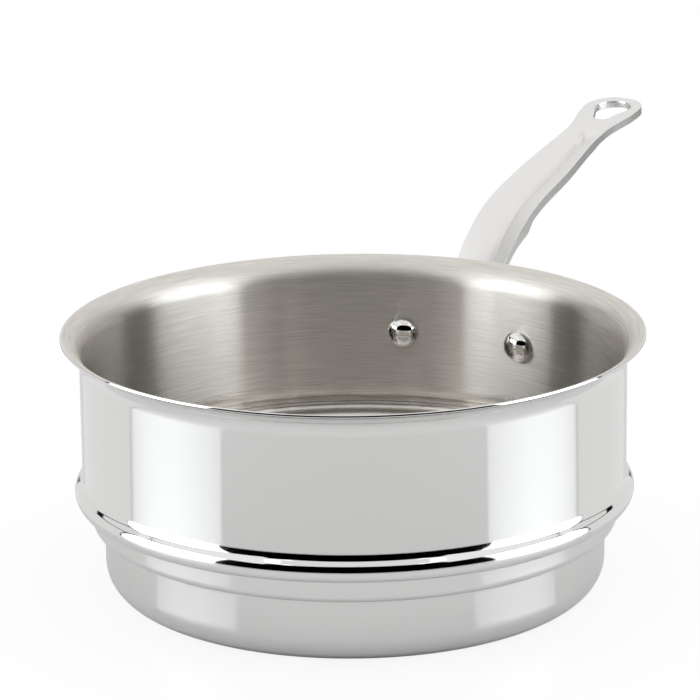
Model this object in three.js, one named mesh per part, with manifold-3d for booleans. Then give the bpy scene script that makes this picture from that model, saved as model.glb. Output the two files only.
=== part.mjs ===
// Steamer insert with a riveted handle.
// A drawn steel pot with a perforated floor hangs in a saucepan by one of two steps in its wall:
// the lower step fits a small pan, the rolled bead above it fits a larger one.
// A cast handle sits on the outside of the wall, held by two solid rivets.
// Millimetres, +Z up, origin at the middle of the underside, handle along +X.

import * as THREE from 'three';
import { mergeVertices } from 'three/addons/utils/BufferGeometryUtils.js';
import Module from 'manifold-3d';

const wasm = await Module();
wasm.setup();

// Pot sheet and radii
const SHEET = 1.2;
const WALL_RADIUS = 107.1;
const BEAD_PROUD = 3.1;
const BAND_INSET = 3.4;
const STEP_WIDTH = 4.95;

// Pot heights, stacked from the base upwards
const CUP_DEPTH = 27.0;
const BAND_DEPTH = 9.5;
const BEAD_FACE = 6.4;
const BEAD_SHOULDER = 3.5;
const WALL_HEIGHT = 46.55;

// Pot bends, measured on the outside of the sheet
const BASE_BEND = 12.5;
const STEP_BEND = 3.7;
const BEAD_BEND = 4.7;
const SHOULDER_BEND = 4.6;
const CREASE_BEND = 1.6;
const FLARE_RADIUS = 10.3;
const FLARE_ANGLE = 73.8;
const LIP_ROUND = 0.4;

// Steam holes in the floor
const HOLE_DIAMETER = 6.0;
const HOLE_RING_PITCH = 14.0;
const HOLE_RING_COUNT_STEP = 6;
const FLOOR_MARGIN = 8.0;

// Rivets
const RIVET_DROP = 30.5;
const RIVET_SPACING = 52.5;
const RIVET_HEAD_DIAMETER = 13.0;
const RIVET_HEAD_HEIGHT = 4.2;
const RIVET_SHANK_DIAMETER = 6.0;
const PEEN_DIAMETER = 9.5;
const PEEN_HEIGHT = 1.8;

// Handle flange
const FLANGE_THICKNESS = 3.2;
const EAR_RADIUS = 9.0;
const FLANGE_TOP = 14.5;
const FLANGE_BOTTOM = 12.0;
const FLANGE_CROWN_WIDTH = 22.0;

// Handle side view: the top edges rise from the flange, bend over, run along the grip and ease at the neck
const ROOT_RISE = 13.0;
const ROOT_SLOPE = 51.0;
const STEM_BEND_RADIUS = 100.0;
const GRIP_SLOPE = 10.0;
const GRIP_LENGTH = 47.0;
const NECK_BEND_RADIUS = 250.0;
const LOOP_SLOPE = 7.2;
const LOOP_LENGTH = 43.0;

// Handle plan
const ROOT_WIDTH = 30.0;
const STEM_WIDTH = 20.6;
const GRIP_WIDTH = 23.0;
const NECK_WIDTH = 18.2;
const LOOP_RADIUS = 13.3;
const ROOT_BLEND = 14.0;
const GRIP_START = 60.0;
const GRIP_TAPER = 50.0;
const NECK_LENGTH = 12.0;
const HANG_HOLE_RIM = 5.2;
const HANG_HOLE_RADIUS = 8.2;
const HANG_HOLE_LENGTH = 23.6;
const HANG_HOLE_POINT_RADIUS = 4.4;

// Handle section
const EDGE_THICKNESS = 4.0;
const LOOP_THICKNESS = 3.3;
const WEB_THICKNESS = 2.8;
const EDGE_ROUND = 1.0;
const STEM_GROOVE_DEPTH = 8.5;
const GRIP_GROOVE_DEPTH = 4.2;
const GROOVE_SOFTNESS = 0.2;
const GROOVE_SHALLOWS_FROM = 25.0;
const GROOVE_SHALLOWS_TO = 80.0;
const GROOVE_RUNOUT = 12.0;
const HEEL_HEIGHT = 2.1;
const HEEL_PLACE = 48.0;
const HEEL_RISE = 18.0;
const HEEL_FALL = 5.0;
const NECK_KINK = 4.0;

// Fits and facets
const CLEARANCE = 0.3;
const AROUND = 48;
const HOLE_SIDES = 8;
const RIVET_SIDES = 20;
const CHORD_ERROR = 0.18;
const STATION_PITCH = 6.0;
const TIP_FACETS = 6;
const OVERCUT = 20.0;
const WELD = 1e-4;
const ROUND_FACETS = 12;
const HEAD_FACETS = 6;
const PEEN_FACETS = 4;
// Places across a half section where the channel and the belly are sampled, as shares of it
const NEAR_MIDDLE = 0.16;
const FAR_FLANK = 0.55;

const rad = THREE.MathUtils.degToRad;
const clamp = THREE.MathUtils.clamp;
const lerp = THREE.MathUtils.lerp;

// Solids: a closed geometry becomes a boolean solid, and a boolean solid becomes a geometry again
function toSolid(geometry) {
  geometry.deleteAttribute('normal');
  geometry.deleteAttribute('uv');
  const merged = mergeVertices(geometry, WELD);
  const corners = merged.index.array;
  const triangles = [];
  for (let i = 0; i < corners.length; i += 3) {
    const [a, b, c] = corners.slice(i, i + 3);
    if (a !== b && b !== c && c !== a) triangles.push(a, b, c);
  }
  return new wasm.Manifold(new wasm.Mesh({
    numProp: 3,
    vertProperties: Float32Array.from(merged.attributes.position.array),
    triVerts: Uint32Array.from(triangles),
  }));
}

function toGeometry(solid) {
  const mesh = solid.getMesh();
  const geometry = new THREE.BufferGeometry();
  geometry.setAttribute('position', new THREE.BufferAttribute(mesh.vertProperties, 3));
  geometry.setIndex(new THREE.BufferAttribute(mesh.triVerts, 1));
  return geometry;
}

function facetsFor(radius, angle) {
  const step = 2 * Math.acos(1 - Math.min(CHORD_ERROR / radius, 1));
  return Math.max(2, Math.ceil(angle / step));
}

// A revolved solid about +Z from a profile of (radius, height) points
function revolve(profile, sides) {
  return new THREE.LatheGeometry(profile, sides).rotateX(Math.PI / 2);
}

// A straight block with the outline as its plan
function extrude(outline, depth) {
  return new THREE.ExtrudeGeometry(outline, { depth, bevelEnabled: false, curveSegments: ROUND_FACETS });
}

// A profile through corners [radius, height, bend], moved to its left by inset.
// Each bend is an arc; where two bends share a short straight, both shrink to fit it.
function roundedProfile(corners, inset) {
  const points = corners.map(([r, z]) => new THREE.Vector2(r, z));
  const ways = points.slice(1).map((p, i) => p.clone().sub(points[i]).normalize());
  const left = (way) => new THREE.Vector2(-way.y, way.x);
  const turns = points.map((p, i) => {
    if (i === 0 || i === points.length - 1) return { angle: 0, tangent: 0 };
    const angle = Math.atan2(ways[i - 1].cross(ways[i]), ways[i - 1].dot(ways[i]));
    return { angle, tangent: corners[i][2] * Math.tan(Math.abs(angle) / 2) };
  });
  const room = (i) => points[i].distanceTo(points[i + 1]) / (turns[i].tangent + turns[i + 1].tangent);
  const outline = [points[0].clone().addScaledVector(left(ways[0]), inset)];
  for (let i = 1; i < points.length - 1; i += 1) {
    const { angle } = turns[i];
    const tangent = turns[i].tangent * Math.min(1, room(i - 1), room(i));
    const radius = tangent / Math.tan(Math.abs(angle) / 2);
    const side = Math.sign(angle);
    const start = points[i].clone().addScaledVector(ways[i - 1], -tangent);
    const centre = start.clone().addScaledVector(left(ways[i - 1]), side * radius);
    const spoke = start.sub(centre).multiplyScalar((radius - side * inset) / radius);
    const facets = facetsFor(radius, Math.abs(angle));
    for (let k = 0; k <= facets; k += 1) {
      outline.push(spoke.clone().rotateAround(new THREE.Vector2(), angle * k / facets).add(centre));
    }
  }
  const end = points.length - 1;
  outline.push(points[end].clone().addScaledVector(left(ways[end - 1]), inset));
  return outline;
}

// Pot levels and radii that follow from the driving dimensions
const bandRadius = WALL_RADIUS - BAND_INSET;
const cupRadius = bandRadius - STEP_WIDTH;
const beadRadius = WALL_RADIUS + BEAD_PROUD;
const beadZ = CUP_DEPTH + BAND_DEPTH;
const shoulderZ = beadZ + BEAD_FACE + BEAD_SHOULDER;
const flareZ = shoulderZ + WALL_HEIGHT;
const flareTangent = FLARE_RADIUS * Math.tan(rad(FLARE_ANGLE) / 2);
const lipRadius = WALL_RADIUS + flareTangent * Math.sin(rad(FLARE_ANGLE));
const lipZ = flareZ + flareTangent * (1 + Math.cos(rad(FLARE_ANGLE)));
const innerRadius = WALL_RADIUS - SHEET;
const rivetZ = lipZ - RIVET_DROP;
const rivetAngle = Math.asin(RIVET_SPACING / 2 / innerRadius);
const rivetAngles = [-rivetAngle, rivetAngle];

function potProfile() {
  const corners = [
    [0, 0, 0],
    [cupRadius, 0, BASE_BEND],
    [cupRadius, CUP_DEPTH, CREASE_BEND],
    [bandRadius, CUP_DEPTH, STEP_BEND],
    [bandRadius, beadZ, CREASE_BEND],
    [beadRadius, beadZ, BEAD_BEND],
    [beadRadius, beadZ + BEAD_FACE, SHOULDER_BEND],
    [WALL_RADIUS, shoulderZ, SHOULDER_BEND],
    [WALL_RADIUS, flareZ + flareTangent, FLARE_RADIUS],
    [lipRadius, lipZ, 0],
  ];
  const outside = roundedProfile(corners, 0);
  const inside = roundedProfile(corners, SHEET).reverse();
  const lipWay = new THREE.Vector2(Math.sin(rad(FLARE_ANGLE)), Math.cos(rad(FLARE_ANGLE)));
  const lipEdge = outside.at(-1).clone().lerp(inside[0], 0.5).addScaledVector(lipWay, LIP_ROUND);
  return [...outside, lipEdge, ...inside];
}

// A cylinder along the radius at a rivet, from the middle of the pot outwards
function radialCylinder(diameter, angle, sides) {
  const length = lipRadius + OVERCUT;
  const cylinder = new THREE.CylinderGeometry(diameter / 2, diameter / 2, length, sides);
  return cylinder.rotateZ(Math.PI / 2).translate(length / 2, 0, rivetZ).rotateZ(angle);
}

function cutRivetHoles(solid) {
  const bore = RIVET_SHANK_DIAMETER + 2 * CLEARANCE;
  const holes = rivetAngles.map((angle) => radialCylinder(bore, angle, RIVET_SIDES));
  return holes.reduce((rest, hole) => rest.subtract(toSolid(hole)), solid);
}

// Steam holes lie on rings about the middle, which stays closed
function steamHoles() {
  const flatRadius = cupRadius - BASE_BEND;
  const rings = Math.floor((flatRadius - HOLE_DIAMETER / 2 - FLOOR_MARGIN) / HOLE_RING_PITCH);
  const holes = [];
  for (let ring = 1; ring <= rings; ring += 1) {
    const count = ring * HOLE_RING_COUNT_STEP;
    for (let k = 0; k < count; k += 1) {
      const hole = new THREE.CylinderGeometry(HOLE_DIAMETER / 2, HOLE_DIAMETER / 2, OVERCUT, HOLE_SIDES);
      hole.rotateX(Math.PI / 2).translate(ring * HOLE_RING_PITCH, 0, 0).rotateZ(2 * Math.PI * k / count);
      holes.push(toSolid(hole));
    }
  }
  return holes;
}

function steamerShell() {
  const drawn = toSolid(revolve(potProfile(), AROUND));
  const perforated = steamHoles().reduce((rest, hole) => rest.subtract(hole), drawn);
  return toGeometry(cutRivetHoles(perforated));
}

// Solid rivet: domed head against the inside of the wall, peened end against the flange
const flangeInner = WALL_RADIUS + CLEARANCE;
const flangeOuter = flangeInner + FLANGE_THICKNESS;

function dome(radius, height, facets) {
  const points = [];
  for (let k = 0; k <= facets; k += 1) {
    const turn = Math.PI / 2 * k / facets;
    points.push(new THREE.Vector2(radius * Math.sin(turn), height * Math.cos(turn)));
  }
  return points;
}

function rivet(angle) {
  const headRadius = RIVET_HEAD_DIAMETER / 2;
  const facetRadius = innerRadius * Math.cos(Math.PI / AROUND);
  const headSeat = Math.sqrt(facetRadius ** 2 - headRadius ** 2) - CLEARANCE;
  const peenSeat = flangeOuter + CLEARANCE;
  const shank = RIVET_SHANK_DIAMETER / 2;
  const head = dome(headRadius, RIVET_HEAD_HEIGHT, HEAD_FACETS)
    .map((p) => new THREE.Vector2(p.x, headSeat - p.y));
  const peen = dome(PEEN_DIAMETER / 2, PEEN_HEIGHT, PEEN_FACETS)
    .map((p) => new THREE.Vector2(p.x, peenSeat + p.y));
  const profile = [
    ...head,
    new THREE.Vector2(shank, headSeat),
    new THREE.Vector2(shank, peenSeat),
    ...peen.reverse(),
  ];
  const turned = new THREE.LatheGeometry(profile, RIVET_SIDES).rotateZ(-Math.PI / 2);
  return toGeometry(toSolid(turned.translate(0, 0, rivetZ).rotateZ(angle)));
}

// Route of the handle's top edges in the XZ plane: pairs of length and slope at each end
const toArc = (radius, from, to) => radius * rad(Math.abs(from - to));
const route = [
  { length: toArc(STEM_BEND_RADIUS, ROOT_SLOPE, GRIP_SLOPE), from: rad(ROOT_SLOPE), to: rad(GRIP_SLOPE) },
  { length: GRIP_LENGTH, from: rad(GRIP_SLOPE), to: rad(GRIP_SLOPE) },
  { length: toArc(NECK_BEND_RADIUS, GRIP_SLOPE, LOOP_SLOPE), from: rad(GRIP_SLOPE), to: rad(LOOP_SLOPE) },
  { length: LOOP_LENGTH + LOOP_RADIUS, from: rad(LOOP_SLOPE), to: rad(LOOP_SLOPE) },
];
const stemEnd = route[0].length;
const gripEnd = stemEnd + GRIP_LENGTH;
const neckEnd = gripEnd + route[2].length;
const loopCentre = neckEnd + LOOP_LENGTH;

// Place and slope at a distance along the route; before the root it runs straight on
function along(distance) {
  const place = { x: flangeInner + CLEARANCE, z: rivetZ + ROOT_RISE, slope: route[0].from };
  let left = distance;
  for (const { length, from, to } of route) {
    const part = Math.min(left, length);
    const end = left < 0 ? from : lerp(from, to, part / length);
    const mean = (place.slope + end) / 2;
    const half = (end - place.slope) / 2;
    const chord = half === 0 ? part : part * Math.sin(half) / half;
    place.x += chord * Math.cos(mean);
    place.z += chord * Math.sin(mean);
    place.slope = end;
    left -= part;
    if (left <= 0) break;
  }
  return place;
}

// Smooth change from one value to another between two places on the route
function ease(distance, start, end, from, to) {
  const t = clamp((distance - start) / (end - start), 0, 1);
  return lerp(from, to, t * t * (3 - 2 * t));
}

function handleWidth(distance) {
  const past = distance - loopCentre;
  if (past > 0) return 2 * Math.sqrt(Math.max(LOOP_RADIUS ** 2 - past ** 2, 0));
  const neck = neckEnd + NECK_LENGTH / 2;
  const flared = ease(distance, 0, ROOT_BLEND, ROOT_WIDTH - STEM_WIDTH, 0);
  const grip = ease(distance, 0, GRIP_START, STEM_WIDTH, GRIP_WIDTH);
  const tapered = ease(distance, neck - GRIP_TAPER, neck, 0, NECK_WIDTH - GRIP_WIDTH);
  const loop = ease(distance, neck + NECK_LENGTH / 2, loopCentre, 0, 2 * LOOP_RADIUS - NECK_WIDTH);
  return grip + flared + tapered + loop;
}

function grooveDepth(distance) {
  const end = neckEnd + NECK_LENGTH / 2;
  const deep = ease(distance, GROOVE_SHALLOWS_FROM, GROOVE_SHALLOWS_TO, STEM_GROOVE_DEPTH, GRIP_GROOVE_DEPTH);
  return deep * ease(distance, end - GROOVE_RUNOUT, end, 1, 0);
}

function heelHeight(distance) {
  if (distance < HEEL_PLACE) return ease(distance, HEEL_PLACE - HEEL_RISE, HEEL_PLACE, 0, HEEL_HEIGHT);
  return ease(distance, HEEL_PLACE, HEEL_PLACE + HEEL_FALL, HEEL_HEIGHT, 0);
}

// Cross-section of the handle: a soft V channel on top, a parallel belly underneath, round edges.
// Points are [across, depth below the top edges], all the way round.
function handleSection(distance) {
  const half = handleWidth(distance) / 2;
  const groove = grooveDepth(distance);
  const plain = ease(distance, neckEnd, neckEnd + NECK_KINK, EDGE_THICKNESS, LOOP_THICKNESS);
  const edge = plain + heelHeight(distance);
  const belly = Math.max(groove + WEB_THICKNESS - edge, 0);
  const round = Math.min(EDGE_ROUND, half / 2);
  const crest = Math.hypot(1, GROOVE_SOFTNESS);
  const topAt = (y) => groove * (crest - Math.hypot(y / half, GROOVE_SOFTNESS)) / (crest - GROOVE_SOFTNESS);
  const bottomAt = (y) => edge + belly * (1 - (y / half) ** 2);
  const rim = half - round;
  const flank = [
    [NEAR_MIDDLE * rim, topAt(NEAR_MIDDLE * rim)],
    [FAR_FLANK * rim, topAt(FAR_FLANK * rim)],
    [rim, topAt(rim)],
    [half, round],
    [half, edge - round],
    [rim, bottomAt(rim)],
    [FAR_FLANK * rim, bottomAt(FAR_FLANK * rim)],
  ];
  const mirrored = flank.map(([y, depth]) => [-y, depth]).reverse();
  return [[0, topAt(0)], ...flank, [0, bottomAt(0)], ...mirrored];
}

function stations() {
  const heelEnd = HEEL_PLACE + HEEL_FALL;
  const places = [HEEL_PLACE, HEEL_PLACE + HEEL_FALL / 2, heelEnd, neckEnd, neckEnd + NECK_KINK];
  for (let place = -OVERCUT; place < loopCentre - STATION_PITCH / 2; place += STATION_PITCH) {
    places.push(place);
  }
  for (let k = 0; k < TIP_FACETS; k += 1) {
    places.push(loopCentre + LOOP_RADIUS * Math.sin(Math.PI / 2 * k / TIP_FACETS));
  }
  places.push(loopCentre + LOOP_RADIUS - CHORD_ERROR);
  places.sort((a, b) => a - b);
  return places.filter((place, i) => i === 0 || place - places[i - 1] > CHORD_ERROR / 2);
}

// Skin over a row of like sections, closed at both ends
function loft(sections) {
  const size = sections[0].length;
  const positions = sections.flat().flatMap((p) => p.toArray());
  const index = [];
  for (let row = 0; row < sections.length - 1; row += 1) {
    for (let k = 0; k < size; k += 1) {
      const a = row * size + k;
      const b = row * size + (k + 1) % size;
      index.push(a, a + size, b, b, a + size, b + size);
    }
  }
  return { positions, index };
}

function handleBar() {
  const places = stations();
  const flat = places.map(handleSection);
  const sections = flat.map((section, i) => {
    const { x, z, slope } = along(places[i]);
    return section.map(([y, depth]) => new THREE.Vector3(
      x + depth * Math.sin(slope),
      y,
      z - depth * Math.cos(slope),
    ));
  });
  const { positions, index } = loft(sections);
  const last = (sections.length - 1) * flat[0].length;
  const capOf = (section) => {
    const outline = section.map((p) => new THREE.Vector2(...p));
    return THREE.ShapeUtils.triangulateShape(outline, []);
  };
  for (const [a, b, c] of capOf(flat[0])) index.push(a, b, c);
  for (const [a, b, c] of capOf(flat.at(-1))) index.push(last + a, last + c, last + b);
  const geometry = new THREE.BufferGeometry();
  geometry.setAttribute('position', new THREE.Float32BufferAttribute(positions, 3));
  geometry.setIndex(index);
  return geometry;
}

// Flange: a batwing outline seen from outside, bent to the wall
function flange() {
  const earY = (flangeInner + FLANGE_THICKNESS / 2) * Math.sin(rivetAngle);
  const crown = FLANGE_CROWN_WIDTH / 2;
  const top = rivetZ + FLANGE_TOP;
  const shoulder = rivetZ + EAR_RADIUS;
  const outline = new THREE.Shape();
  outline.moveTo(-earY, rivetZ - EAR_RADIUS);
  outline.quadraticCurveTo(0, rivetZ - 2 * FLANGE_BOTTOM + EAR_RADIUS, earY, rivetZ - EAR_RADIUS);
  outline.absarc(earY, rivetZ, EAR_RADIUS, -Math.PI / 2, Math.PI / 2, false);
  outline.quadraticCurveTo(crown, shoulder, crown, top);
  outline.lineTo(-crown, top);
  outline.quadraticCurveTo(-crown, shoulder, -earY, shoulder);
  outline.absarc(-earY, rivetZ, EAR_RADIUS, Math.PI / 2, 3 * Math.PI / 2, false);
  const block = extrude(outline, 2 * flangeOuter).rotateX(Math.PI / 2).rotateZ(Math.PI / 2);
  const ring = [
    [flangeInner, 0],
    [flangeOuter, 0],
    [flangeOuter, lipZ],
    [flangeInner, lipZ],
    [flangeInner, 0],
  ].map(([r, z]) => new THREE.Vector2(r, z));
  return toSolid(block).intersect(toSolid(revolve(ring, AROUND)));
}

// Hanging hole: a teardrop, round towards the tip and pointed towards the grip
function hangHole() {
  const big = HANG_HOLE_RADIUS;
  const small = HANG_HOLE_POINT_RADIUS;
  const bigAt = LOOP_RADIUS - HANG_HOLE_RIM - big;
  const smallAt = bigAt + big - HANG_HOLE_LENGTH + small;
  const turn = Math.PI / 2 + Math.asin((big - small) / (bigAt - smallAt));
  const outline = new THREE.Shape();
  outline.absarc(bigAt, 0, big, -turn, turn, false);
  outline.absarc(smallAt, 0, small, turn, 2 * Math.PI - turn, false);
  const { x, z, slope } = along(loopCentre);
  const punch = extrude(outline, 2 * OVERCUT);
  return toSolid(punch.translate(0, 0, -OVERCUT).rotateY(-slope).translate(x, 0, z));
}

function handle() {
  const inside = new THREE.CylinderGeometry(flangeInner, flangeInner, 2 * lipZ, AROUND).rotateX(Math.PI / 2);
  const bar = toSolid(handleBar()).subtract(toSolid(inside)).subtract(hangHole());
  return toGeometry(cutRivetHoles(bar.add(flange())));
}

function steel(color, roughness) {
  return new THREE.MeshStandardMaterial({ color, roughness, metalness: 1 });
}

function piece(name, geometry, material) {
  const mesh = new THREE.Mesh(geometry, material);
  mesh.name = name;
  return mesh;
}

const steamer = new THREE.Group();
steamer.add(piece('steamer_shell', steamerShell(), steel(0xd0d0cf, 0.08)));
steamer.add(piece('handle', handle(), steel(0xdcdad6, 0.35)));
steamer.add(piece('rivet_right', rivet(-rivetAngle), steel(0xd6d4d0, 0.06)));
steamer.add(piece('rivet_left', rivet(rivetAngle), steel(0xd6d4d0, 0.06)));

export default steamer;
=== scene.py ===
# %% [markdown]
# # A steamer insert in polished steel
# The object is a drawn steel pot with a perforated floor that hangs in a saucepan by a step or by a
# bead in its wall. A cast handle is riveted to it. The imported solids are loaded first, because
# every piece made below has to sit exactly where its solid sits.

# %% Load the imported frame
import math
import bmesh
import bpy
from mathutils import Matrix, Vector


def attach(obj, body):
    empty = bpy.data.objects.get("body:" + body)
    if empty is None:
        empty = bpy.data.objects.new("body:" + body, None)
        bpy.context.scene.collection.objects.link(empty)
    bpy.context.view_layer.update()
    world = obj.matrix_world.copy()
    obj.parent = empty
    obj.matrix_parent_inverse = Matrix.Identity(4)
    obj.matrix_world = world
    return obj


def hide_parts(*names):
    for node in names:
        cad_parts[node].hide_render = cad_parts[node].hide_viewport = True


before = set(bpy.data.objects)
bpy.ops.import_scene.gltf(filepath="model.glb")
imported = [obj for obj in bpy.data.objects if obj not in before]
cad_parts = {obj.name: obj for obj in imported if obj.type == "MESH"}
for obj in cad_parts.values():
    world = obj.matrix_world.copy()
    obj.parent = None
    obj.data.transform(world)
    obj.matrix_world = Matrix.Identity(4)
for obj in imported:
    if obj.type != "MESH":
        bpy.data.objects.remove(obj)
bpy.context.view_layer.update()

MM = 0.001
print("solids:", sorted(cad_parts))

# %% [markdown]
# ## Camera
# The photograph was taken with a long lens from about a metre and a half away, a little above the
# rim. A long lens keeps the rim's ellipse flat, so the distance and the focal length belong
# together. The camera is swung round the pot first and then nudged by the small aim errors.

# %% Camera
VIEW_AZIMUTH = math.radians(-64.2)
VIEW_ELEVATION = math.radians(17.716)
VIEW_DISTANCE = 1.58002
AIM_HEIGHT = 0.055
AIM_TILT = math.radians(1.402)
AIM_PAN = math.radians(0.044)
AIM_ROLL = math.radians(-0.621)
PIXEL_FOCAL = 4007.3
PHOTO_WIDTH = 700
SENSOR_WIDTH = 36.0

scene = bpy.context.scene
lens = bpy.data.cameras.new("camera")
lens.sensor_width = SENSOR_WIDTH
lens.lens = SENSOR_WIDTH * PIXEL_FOCAL / PHOTO_WIDTH
camera = bpy.data.objects.new("camera", lens)
scene.collection.objects.link(camera)
scene.camera = camera
turn_to_view = Matrix.Rotation(VIEW_AZIMUTH, 4, "Z")
swing = turn_to_view @ Matrix.Rotation(math.pi / 2 - VIEW_ELEVATION, 4, "X")
back_off = Matrix.Translation((0, 0, VIEW_DISTANCE))
nudge = Matrix.Rotation(AIM_TILT, 4, "X") @ Matrix.Rotation(AIM_PAN, 4, "Y")
nudge = nudge @ Matrix.Rotation(AIM_ROLL, 4, "Z")
camera.matrix_world = Matrix.Translation((0, 0, AIM_HEIGHT)) @ swing @ back_off @ nudge
print("camera at", tuple(round(c, 3) for c in camera.matrix_world.translation))
print("lens", round(lens.lens, 1))

# %% [markdown]
# ## Studio
# Polished steel has hardly a colour of its own: it shows the room. The photograph's reflections
# tell what stood there, so they were traced back: two tall softboxes, one on each side, a broad
# lamp overhead, a pale glossy table and cards all round. Area lamps make the softboxes, because
# they show in reflections and cost little noise. A second lamp 2 cm ahead of each softbox is seen
# by mirrors alone, which makes the columns on the steel bright without more light on the rest. It
# is feathered: it fades towards its two upright edges.

# %% Softboxes
SIDE_DISTANCE = 0.833
SIDE_SETBACK = -0.153
SIDE_WIDTH = 0.76
SIDE_HEIGHT = 0.54
SIDE_TURN = math.radians(25.6)
SIDE_TINT = (0.94, 0.975, 1.0)
SIDE_POWER = 2.5
SHEEN_POWER = 4.6
SHEEN_AHEAD = 0.02
SHEEN_FEATHER = 0.8
TOP_SIZE = 1.3
TOP_HEIGHT = 1.2
TOP_FORWARD = 0.45
TOP_POWER = 4.6
scene.view_settings.view_transform = "Standard"


def feed(tree, socket, value):
    if isinstance(value, (int, float)):
        socket.default_value = value
    else:
        tree.links.new(value, socket)


def math_node(tree, operation, a, b=None):
    node = tree.nodes.new("ShaderNodeMath")
    node.operation = operation
    feed(tree, node.inputs[0], a)
    if b is not None:
        feed(tree, node.inputs[1], b)
    return node.outputs[0]


def softbox(name, place, size_x, size_y, power):
    lamp = bpy.data.lights.new(name, "AREA")
    lamp.shape = "RECTANGLE"
    lamp.size = size_x
    lamp.size_y = size_y
    lamp.energy = power
    box = bpy.data.objects.new(name, lamp)
    scene.collection.objects.link(box)
    box.matrix_world = turn_to_view @ place
    box.visible_camera = False
    return box


# Full strength in the middle, less by the share of the fade at both edges
def feather(lamp, fade):
    lamp.use_nodes = True
    tree = lamp.node_tree
    split = tree.nodes.new("ShaderNodeSeparateXYZ")
    surface = tree.nodes.new("ShaderNodeNewGeometry")
    tree.links.new(surface.outputs["Parametric"], split.inputs[0])
    off = math_node(tree, "SUBTRACT", split.outputs["Y"], 0.5)
    dim = math_node(tree, "MULTIPLY", math_node(tree, "MULTIPLY", off, off), 4 * fade)
    light = math_node(tree, "SUBTRACT", 1.0, dim)
    tree.links.new(light, tree.nodes["Emission"].inputs["Strength"])


ahead = Matrix.Translation((0, 0, -SHEEN_AHEAD))
for side, name in ((1, "softbox_right"), (-1, "softbox_left")):
    place = Matrix.Translation((side * SIDE_DISTANCE, SIDE_SETBACK, SIDE_HEIGHT / 2))
    face_pot = Matrix.Rotation(-side * SIDE_TURN, 4, "Z")
    place = place @ (face_pot @ Matrix.Rotation(side * math.pi / 2, 4, "Y"))
    box = softbox(name, place, SIDE_HEIGHT, SIDE_WIDTH, SIDE_POWER)
    sheen = softbox(name + "_sheen", place @ ahead, SIDE_HEIGHT, SIDE_WIDTH, SHEEN_POWER)
    sheen.visible_diffuse = False
    feather(sheen.data, SHEEN_FEATHER)
    box.data.color = sheen.data.color = SIDE_TINT
overhead = Matrix.Translation((0, -TOP_FORWARD, TOP_HEIGHT))
softbox("softbox_top", overhead, TOP_SIZE, TOP_SIZE, TOP_POWER)

# %% [markdown]
# The room behind the lamps is white for the camera and for mirrors, and a plain grey fill for
# everything else, so the picture's ground is white without pouring more light on the pot.

# %% World
FILL = 0.75


def map_range(tree, value, spans, smooth=False):
    node = tree.nodes.new("ShaderNodeMapRange")
    if smooth:
        node.interpolation_type = "SMOOTHSTEP"
    for label, number in zip(("From Min", "From Max", "To Min", "To Max"), spans):
        feed(tree, node.inputs[label], number)
    tree.links.new(value, node.inputs["Value"])
    return node.outputs["Result"]


world = bpy.data.worlds.new("studio")
scene.world = world
world.use_nodes = True
tree = world.node_tree
background = tree.nodes["Background"]
background.inputs["Color"].default_value = (1, 1, 1, 1)
path = tree.nodes.new("ShaderNodeLightPath")
seen = math_node(
    tree, "MAXIMUM", path.outputs["Is Camera Ray"], path.outputs["Is Glossy Ray"])
seen = math_node(tree, "MAXIMUM", seen, path.outputs["Is Transmission Ray"])
tree.links.new(map_range(tree, seen, (0.0, 1.0, FILL, 1.0)), background.inputs["Strength"])
print("world fill", FILL)

# %% [markdown]
# Cards of five greys stand round the pot. A lit card is as bright as its paper and the lamps make
# it, which is hard to set, so each glows by itself at its own grey and takes no other light.

# %% Papers for the cards
PAPER_GREYS = {
    "black_velvet": 0.0,
    "dusk_paper": 0.40,
    "pale_paper": 0.90,
    "ceiling_paper": 1.0,
    "bounce_paper": 0.84,
}
BLACK, DUSK, PALE, CEILING, BOUNCE = range(len(PAPER_GREYS))


def glowing_paper(name, grey):
    material = bpy.data.materials.new(name)
    material.use_nodes = True
    shader = material.node_tree.nodes["Principled BSDF"]
    shader.inputs["Base Color"].default_value = (0, 0, 0, 1)
    shader.inputs["Specular IOR Level"].default_value = 0.0
    shader.inputs["Emission Color"].default_value = (grey, grey, grey, 1)
    shader.inputs["Emission Strength"].default_value = 1.0
    return material


papers = [glowing_paper(name, grey) for name, grey in PAPER_GREYS.items()]
print("papers:", [paper.name for paper in papers])

# %% [markdown]
# Most of the cards form a drum round the pot, as a photographer sets up to give bright metal its
# lines. In front they are black velvet, which draws the black lines on the bead. Further round
# comes grey dusk paper, and pale paper stands behind the pot. Ceiling paper hangs high up and
# overhead, but black above the top lamp, which shows by itself. Mirrors alone see the cards, so
# they take no light away. A face has one paper, so every height where the paper changes is a row
# of the mesh.

# %% Cards round the pot
CARD_RADIUS = 1.35
CARD_HEIGHT = 1.3
CARD_FOOT = 0.002
CARD_STEPS = 72
LID_RADII = (1.1, 0.9, 0.7, 0.5, 0.3, 0.01)
LID_TOLERANCE = 0.001
FRONT_REACH = math.radians(100)
SIDE_REACH = math.radians(127)
DUSK_REACH = math.radians(150)
HORIZON = 0.10
SIDE_START = 0.28
CEILING_SIDE = 0.78
CEILING_START = 0.95
CEILING_EDGE = math.radians(40)
CARD_ROWS = (CARD_FOOT, HORIZON, SIDE_START, CEILING_SIDE, CEILING_START, CARD_HEIGHT)


def mesh_object(bm, name, materials):
    mesh = bpy.data.meshes.new(name)
    bm.to_mesh(mesh)
    bm.free()
    for material in materials:
        mesh.materials.append(material)
    thing = bpy.data.objects.new(name, mesh)
    scene.collection.objects.link(thing)
    return thing


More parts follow.
